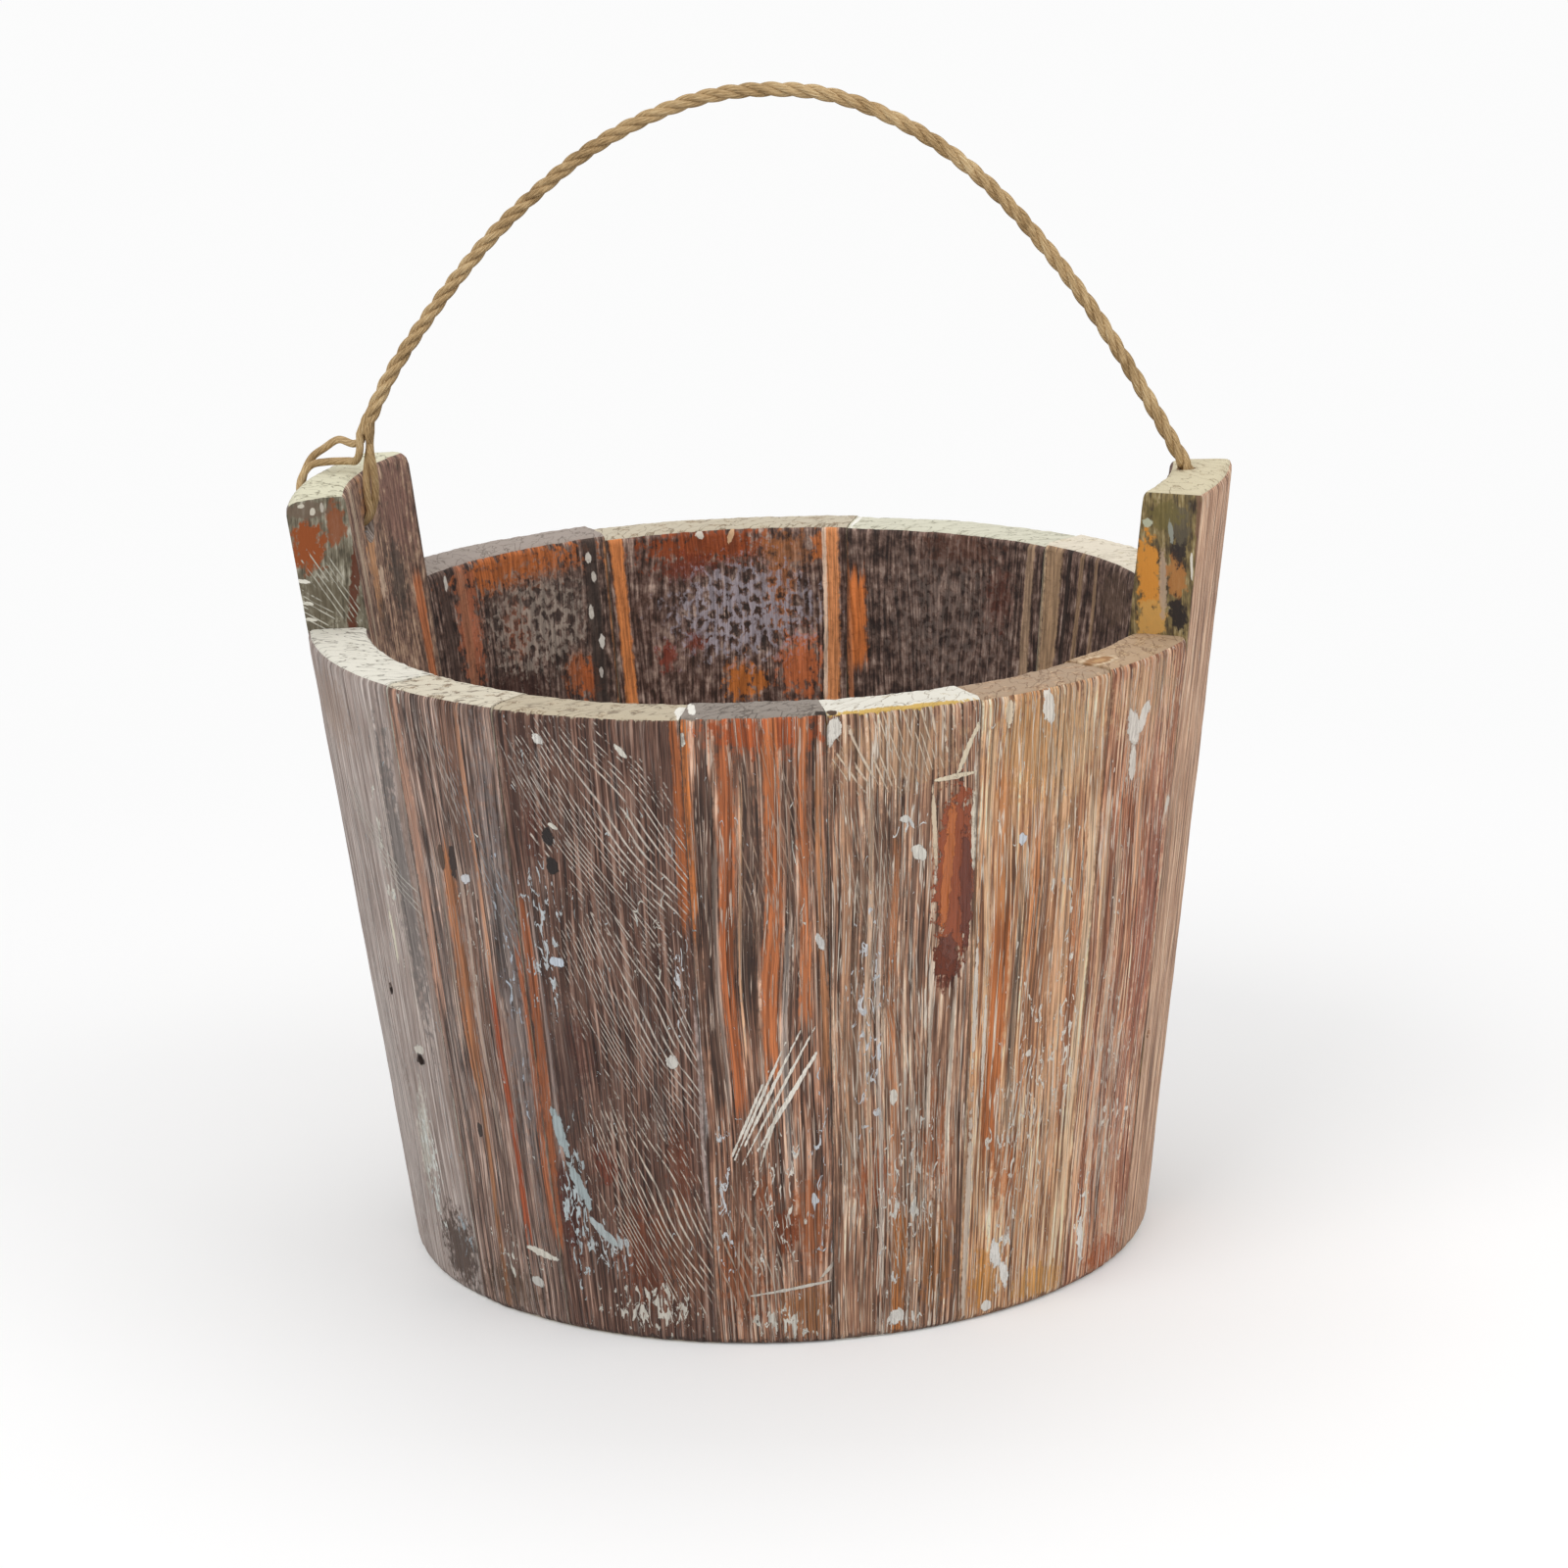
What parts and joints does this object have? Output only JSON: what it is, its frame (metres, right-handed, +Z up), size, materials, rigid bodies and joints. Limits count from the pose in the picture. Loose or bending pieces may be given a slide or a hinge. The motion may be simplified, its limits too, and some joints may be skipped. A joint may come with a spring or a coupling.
{
  "type": "wooden bucket",
  "caption": "Tapered bucket of thick edge-glued wooden staves on a grooved-in plank base, with two standing ears and a laid rope bail.",
  "frame": {"origin": "centre of the foot, on the surface that the bucket stands on", "axes": "+Z up, +X to the right seen from the pictured front, which faces -Y; the line of the ears is turned 11 degrees from X, the right ear nearer the front"},
  "size_m": [0.3101, 0.2994, 0.385],
  "materials": {
    "stave_wood_dark": "weathered dark brown, scratched, traces of paint",
    "stave_wood_rust": "weathered, rust-orange and brown streaks",
    "stave_wood_tan": "weathered tan, pale grain streaks",
    "stave_wood_grey": "weathered grey-brown, worn smooth",
    "base_wood": "dark stained planks",
    "dowel_wood": "bare turned hardwood",
    "rope": "three-strand laid natural fibre, matt"
  },
  "bodies": {
    "bucket": {"ear_stave_left": "stave_wood_grey", "ear_stave_right": "stave_wood_tan", "back_stave_1": "stave_wood_dark", "back_stave_2": "stave_wood_dark", "back_stave_3": "stave_wood_rust", "back_stave_4": "stave_wood_grey", "front_stave_1": "stave_wood_grey", "front_stave_2": "stave_wood_rust", "front_stave_3": "stave_wood_dark", "front_stave_4": "stave_wood_rust", "front_stave_5": "stave_wood_tan", "front_stave_6": "stave_wood_rust", "front_stave_7": "stave_wood_tan", "base_board_left": "base_wood", "base_board_middle": "base_wood", "base_board_right": "base_wood", "stave_dowels_lower": "dowel_wood", "stave_dowels_upper": "dowel_wood", "base_dowels": "dowel_wood", "rope_splice": "rope", "rope_tail": "rope", "eye_strand_high": "rope", "eye_strand_low": "rope"},
    "bail": {"rope_bail": "rope"}
  },
  "joints": [
    {"name": "bail_swing", "type": "hinge", "parent": "bucket", "child": "bail", "pos_m": [-0.12614, 0.02452, 0.2795], "axis": [0.9795, -0.1904, -0.0654], "range_deg": [-90, 90]}
  ]
}
